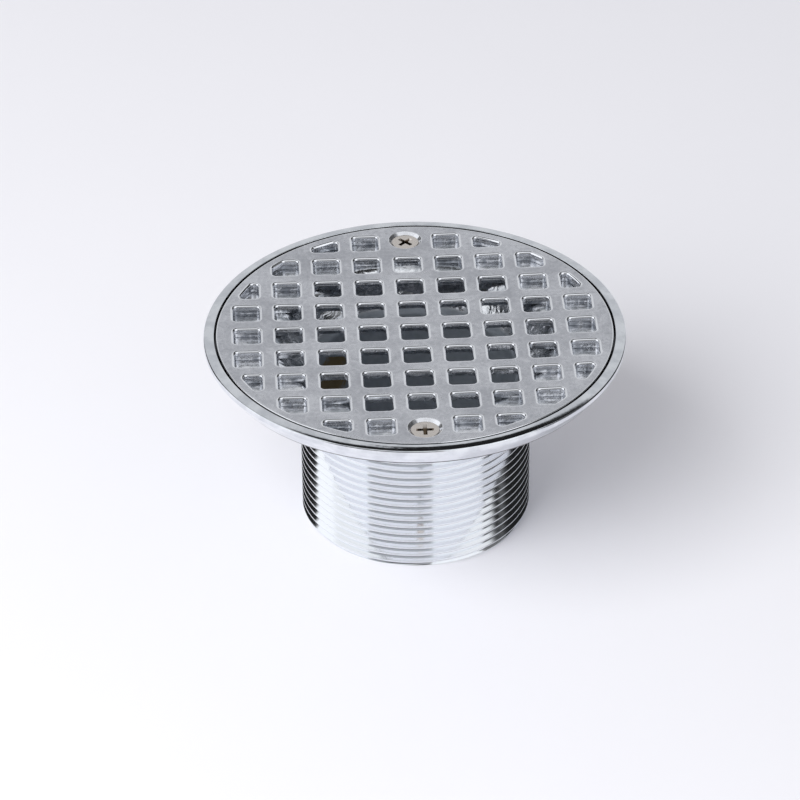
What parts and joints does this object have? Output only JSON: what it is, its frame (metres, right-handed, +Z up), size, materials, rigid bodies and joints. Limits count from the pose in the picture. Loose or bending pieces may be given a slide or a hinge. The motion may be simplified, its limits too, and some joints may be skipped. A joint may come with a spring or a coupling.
{
  "type": "floor drain grate",
  "caption": "Round floor drain strainer: a lift-out square-hole grate, screwed down into a flanged funnel body with a threaded outlet barrel.",
  "frame": {"origin": "centre of the barrel's end face, on the drain's axis, which is the bottom centre of the box", "axes": "+Z up the drain's axis from the barrel's end to the flange; +Y from the front screw to the rear screw; the rows of holes run along X"},
  "size_m": [0.108, 0.108, 0.0532],
  "materials": {
    "body_chrome": "bright chrome plating over a casting",
    "grate_chrome": "satin chrome plating, lightly brushed, with polished hole edges",
    "screw_nickel": "warm nickel plating"
  },
  "bodies": {
    "strainer_body": {"strainer_body": "body_chrome"},
    "grate": {"grate": "grate_chrome"},
    "front_screw": {"front_screw": "screw_nickel"},
    "rear_screw": {"rear_screw": "screw_nickel"}
  },
  "joints": [
    {"name": "grate_lift", "type": "slide", "parent": "strainer_body", "child": "grate", "axis": [0, 0, 1], "range_m": [0, 0.03]},
    {"name": "front_screw_out", "type": "slide", "parent": "grate", "child": "front_screw", "axis": [0, 0, 1], "range_m": [0, 0.012]},
    {"name": "rear_screw_out", "type": "slide", "parent": "grate", "child": "rear_screw", "axis": [0, 0, 1], "range_m": [0, 0.012]}
  ]
}
